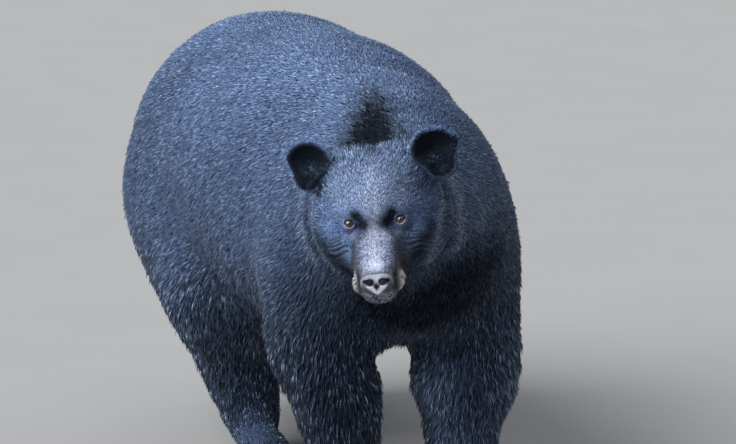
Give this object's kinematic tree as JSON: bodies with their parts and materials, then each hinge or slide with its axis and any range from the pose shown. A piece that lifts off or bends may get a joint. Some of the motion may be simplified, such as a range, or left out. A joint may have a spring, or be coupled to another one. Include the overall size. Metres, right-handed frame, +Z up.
{
  "type": "black bear",
  "caption": "Life-size black bear walking with its head turned to its right, as a still museum model with a full coat.",
  "frame": {"origin": "on the floor under the middle of the bounding box", "axes": "+Z up, -Y the way the bear walks, +X towards its left side"},
  "size_m": [0.688, 1.7704, 0.988],
  "materials": {
    "fur": "dense black fur with a slate-blue sheen",
    "muzzle_fur": "very short grey-brown fur",
    "ear_fur": "short velvety black fur",
    "nose_skin": "moist pebbled black skin",
    "eye": "wet brown eye",
    "claw": "smooth dark horn"
  },
  "bodies": {
    "root": {"eye_left": "eye", "ear_left": "ear_fur", "eye_right": "eye", "ear_right": "ear_fur", "nose": "nose_skin", "head": "fur", "muzzle": "muzzle_fur", "neck": "fur", "chest": "fur", "shoulder_left": "fur", "shoulder_right": "fur", "belly": "fur", "rump": "fur", "tail": "fur", "forearm_left": "fur", "thigh_left": "fur", "shank_left": "fur", "forearm_right": "fur", "thigh_right": "fur", "shank_right": "fur", "forepaw_left": "fur", "forepaw_left_claw_1": "claw", "forepaw_left_claw_2": "claw", "forepaw_left_claw_3": "claw", "forepaw_left_claw_4": "claw", "forepaw_left_claw_5": "claw", "forepaw_right": "fur", "forepaw_right_claw_1": "claw", "forepaw_right_claw_2": "claw", "forepaw_right_claw_3": "claw", "forepaw_right_claw_4": "claw", "forepaw_right_claw_5": "claw", "hindpaw_left": "fur", "hindpaw_left_claw_1": "claw", "hindpaw_left_claw_2": "claw", "hindpaw_left_claw_3": "claw", "hindpaw_left_claw_4": "claw", "hindpaw_left_claw_5": "claw", "hindpaw_right": "fur", "hindpaw_right_claw_1": "claw", "hindpaw_right_claw_2": "claw", "hindpaw_right_claw_3": "claw", "hindpaw_right_claw_4": "claw", "hindpaw_right_claw_5": "claw"}
  },
  "joints": []
}
